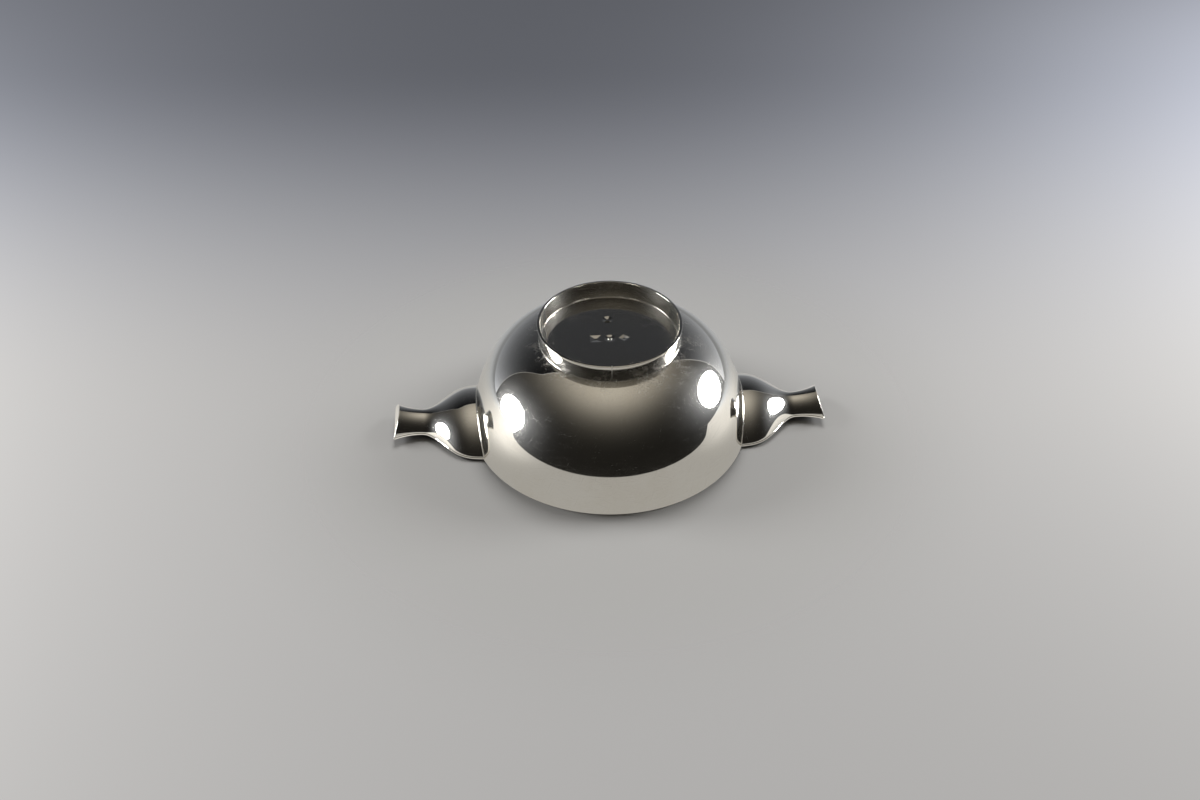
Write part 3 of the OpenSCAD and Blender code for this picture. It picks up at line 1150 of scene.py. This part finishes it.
    def table_finish(self, stage):
        """A pale table round the rim that fades into the backdrop, with painted shade that darkens
        it far off.
        The silver mirrors it from the mouth as far as its near edge, where it shows a painted glow
        of its light."""
        material, nodes = new_material("pale_table")
        x, y, _ = nodes.parts(nodes.place())
        right, nearer = on_axes(x, y, stage.camera_turn)
        reach = axis_distance(x, y)
        glossy = nodes.add("ShaderNodeLightPath", out="Is Glossy Ray")
        # painted shade: the lit table's tone darkens to a cool grey far off
        paint = self.painted(nodes, stage.table, nodes.smooth(nearer, *self.FAR_SHADE_FADE))
        front = nodes.blend(glossy, paint, self.painted_table_glow(nodes, right, nearer))
        fade = 1 - nodes.smooth(reach, *self.TABLE_FADE)
        inside = reach.math("SMOOTH_MAX", stage.table_edge - reach, self.NEAR_LINE - nearer,
                            self.EDGE_BLEND)
        bowl = bpy.context.scene.quaich_bowl
        mouth_r = bowl.mouth_d / 2 - bowl.sheet
        past_mouth = nodes.smooth(reach, mouth_r - self.MOUTH_RISE, mouth_r)
        mirrored = nodes.smooth(inside, *self.EDGE_RISE) * past_mouth
        self.show_front(nodes, front, fade + (mirrored - fade) * glossy)
        return material

    def floor(self, name, size, z, front_up, material, mirrored):
        """A plane that throws no light or shadow on the quaich."""
        deselect()
        bpy.ops.mesh.primitive_plane_add(size=size, location=(0, 0, z))
        floor = name_new(name)
        if not front_up:
            flip(floor)
        floor.data.materials.append(material)
        floor.visible_glossy = mirrored
        floor.visible_diffuse = False
        floor.visible_shadow = False
        return floor

    def lamp(self, name, place, aim, shape, size, power, spread=math.pi):
        """A soft lamp that the camera doesn't see."""
        bpy.ops.object.light_add(type="AREA", location=place)
        lamp = name_new(name)
        lamp.data.shape = shape
        lamp.data.size = size
        lamp.data.energy = power
        lamp.data.spread = spread
        lamp.rotation_euler = (Vector(place) - aim).to_track_quat("Z", "Y").to_euler()
        lamp.visible_camera = False
        return lamp

    def lamps(self, stage, floors):
        """Two side lamps that the silver mirrors, which leave the floors alone, and softer ones
        over the mouth and round the table."""
        aim = Vector((0, 0, RIM_Z / 2))

        def place(azimuth, elevation, reach):
            return aim + room_direction(azimuth, elevation, stage.camera_turn) * reach

        spared = bpy.data.collections.new("spared_by_side_lamps")
        for number, floor in enumerate(floors):
            spared.objects.link(floor)
            spared.collection_objects[number].light_linking.link_state = "EXCLUDE"
        for name, azimuth, elevation in self.SIDE_LAMPS:
            lamp = self.lamp(name, place(azimuth, elevation, stage.lamp_reach), aim, "DISK",
                             stage.lamp_d, stage.lamp_power, self.SIDE_SPREAD)
            lamp.light_linking.receiver_collection = spared
        soft = [self.lamp("lamp_over_mouth", self.TOP_PLACE, aim, "SQUARE", self.TOP_SIZE,
                          stage.top_power)]
        for name, azimuth, elevation in self.FILLS:
            soft.append(self.lamp(name, place(azimuth, elevation, self.FILL_REACH), aim, "DISK",
                                  self.FILL_D, stage.fill_power))
        for lamp in soft:
            lamp.visible_glossy = False

    def backdrop(self, nodes, stage, x, y, z):
        """What the camera sees past the table: its far end, painted with pools of lamp light and
        with shade that darkens it to a cool grey far off, or a plain backdrop."""
        down = z.math("MAXIMUM", 0 - z, self.LEAST_DOWN)
        right = x / down
        away = y / down
        far = nodes.smooth(away, *self.FAR_RISE)
        # painted shade far off and to the right, and painted pools of lamp light below
        tone = self.FAR_LIGHT - far * self.FAR_DIM - right * self.RIGHT_DIM
        for strength, glow_right, glow_away, spread in self.FAR_PAINTED_GLOWS:
            off_right = right - glow_right
            off_away = away - glow_away
            off = off_right * off_right + off_away * off_away
            tone = tone + math.e ** (off / -spread ** 2) * strength
        tint = nodes.mix(far, opaque(self.NEAR_TINT), opaque(self.FAR_TINT))
        looks_down = nodes.smooth(z, *self.LOOK_DOWN)
        return nodes.mix(looks_down, opaque(stage.backdrop), nodes.scaled(tint, tone))

    def sweep(self, nodes, x, y, z):
        """A pale sweep behind: its light, the share that is inside it and the share on its hem."""
        depth = y.math("MAXIMUM", y, self.LEAST_DEPTH)
        side = x / depth
        rise = z / depth
        light = math.e ** (rise * -self.SWEEP_FALL) * self.SWEEP_LIGHT
        light = light.math("MINIMUM", light, self.SWEEP_MOST)
        gain = 1 + side * side * self.SIDE_GAIN + side.math("MAXIMUM", side, 0) * self.RIGHT_GAIN
        light = light * gain.math("MINIMUM", gain, self.MOST_GAIN)
        left, right, top = (offset + side * by_side + rise * by_rise
                            for offset, by_side, by_rise in self.SWEEP_EDGES)
        within = rise.math("SMOOTH_MIN", left, right, self.SWEEP_ROUND)
        within = rise.math("SMOOTH_MIN", within, top, self.SWEEP_ROUND)
        behind = nodes.smooth(y, *self.BEHIND_RISE) * nodes.smooth(z, *self.HORIZON)
        inside = nodes.smooth(within, *self.SWEEP_RISE) * behind
        hem = (1 - nodes.smooth(abs(within), 0.0, self.HEM_W)) * behind
        return light, inside, hem

    def room(self, stage):
        """A dim room with a warm glow beyond the base, a pale sweep behind and a pale tent over
        the mouth."""
        world = bpy.data.worlds.new("quaich_room")
        bpy.context.scene.world = world
        world.use_nodes = True
        nodes = Nodes(world.node_tree)
        ray = nodes.add("ShaderNodeTexCoord", out="Generated")
        ray = nodes.add("ShaderNodeMapping", {"vector_type": "VECTOR"},
                        {"Vector": ray, "Rotation": (math.pi, 0, stage.camera_turn)})
        x, y, z = nodes.parts(ray)

        def spot(azimuth, elevation, narrow, strength):
            right, nearer, down = room_direction(azimuth, elevation, 0)
            near = nodes.add("ShaderNodeVectorMath", {"operation": "DOT_PRODUCT"},
                             {0: ray, 1: (right, -nearer, -down)}, out="Value")
            return math.e ** ((near - 1) * narrow) * strength

        glow = spot(*self.GLOW) * math.e ** (x * x * -self.GLOW_NARROW) + self.ROOM_LIGHT
        tent = self.TENT_LIGHT + sum(spot(*place) for place in self.TENT_SPOTS)
        for strength, low, high in self.TENT_BANDS:
            tent = tent + nodes.smooth(z, low, high) * strength
        below = 1 - nodes.smooth(z, *self.HORIZON)
        pale, inside, hem = self.sweep(nodes, x, y, z)
        halo = sum(spot(*place) for place in self.HALOS)

        seen = nodes.scaled(self.ROOM_TINT, glow)
        seen = nodes.mix(below, seen, nodes.scaled(self.TENT_TINT, tent))
        seen = nodes.mix(inside, seen, nodes.scaled(self.SWEEP_TINT, pale))
        for tint, light in ((self.HEM_TINT, hem * self.HEM_LIGHT), (self.HALO_TINT, halo)):
            added = nodes.scaled(tint, light)
            seen = nodes.add("ShaderNodeVectorMath", {"operation": "ADD"}, {0: seen, 1: added})
        camera = nodes.add("ShaderNodeLightPath", out="Is Camera Ray")
        seen = nodes.mix(camera, seen, self.backdrop(nodes, stage, x, y, z))
        surface = nodes.add("ShaderNodeBackground", None, {"Color": seen, "Strength": 1.0})
        nodes.add("ShaderNodeOutputWorld", None, {"Surface": surface})

    def execute(self, context):
        stage = context.scene.quaich_stage
        self.camera(stage)
        table = self.floor("table_at_rim", self.TABLE_SIZE, RIM_Z + self.FLOOR_GAP, False,
                           self.table_finish(stage), True)
        floor = self.floor("floor_at_foot", self.FLOOR_SIZE, FOOT_Z - self.FLOOR_GAP, True,
                           self.floor_finish(stage), False)
        self.lamps(stage, (table, floor))
        self.room(stage)
        context.scene.cycles.caustics_reflective = False
        context.scene.view_settings.view_transform = "Standard"
        return {"FINISHED"}


OPERATORS = (
    QUAICH_OT_bowl,
    QUAICH_OT_foot_ring,
    QUAICH_OT_foot_solder,
    QUAICH_OT_lug_top_plates,
    QUAICH_OT_lug_undersides,
    QUAICH_OT_lug_end_plates,
    QUAICH_OT_lug_solder,
    QUAICH_OT_stage,
)


class QUAICH_PT_panel(Panel):
    """Lists the quaich's sizes and the steps that make it"""
    bl_idname = "QUAICH_PT_panel"
    bl_label = "Quaich"
    bl_space_type = "VIEW_3D"
    bl_region_type = "UI"
    bl_category = "Quaich"

    def draw(self, context):
        for operator in OPERATORS:
            self.layout.operator(operator.bl_idname)
        for group in GROUPS:
            box = self.layout.box()
            settings = getattr(context.scene, group)
            for setting in settings.__annotations__:
                box.prop(settings, setting)


CLASSES = (*GROUPS.values(), *OPERATORS, QUAICH_PT_panel)


def register():
    for item in CLASSES:
        bpy.utils.register_class(item)
    for name, group in GROUPS.items():
        setattr(bpy.types.Scene, name, PointerProperty(type=group))


def unregister():
    for name in GROUPS:
        delattr(bpy.types.Scene, name)
    for item in reversed(CLASSES):
        bpy.utils.unregister_class(item)


def main():
    register()
    bpy.ops.quaich.bowl()
    bpy.ops.quaich.foot_ring()
    bpy.ops.quaich.foot_solder()
    bpy.ops.quaich.lug_top_plates()
    bpy.ops.quaich.lug_undersides()
    bpy.ops.quaich.lug_end_plates()
    bpy.ops.quaich.lug_solder()
    bpy.ops.quaich.stage()


if __name__ == "__main__":
    main()
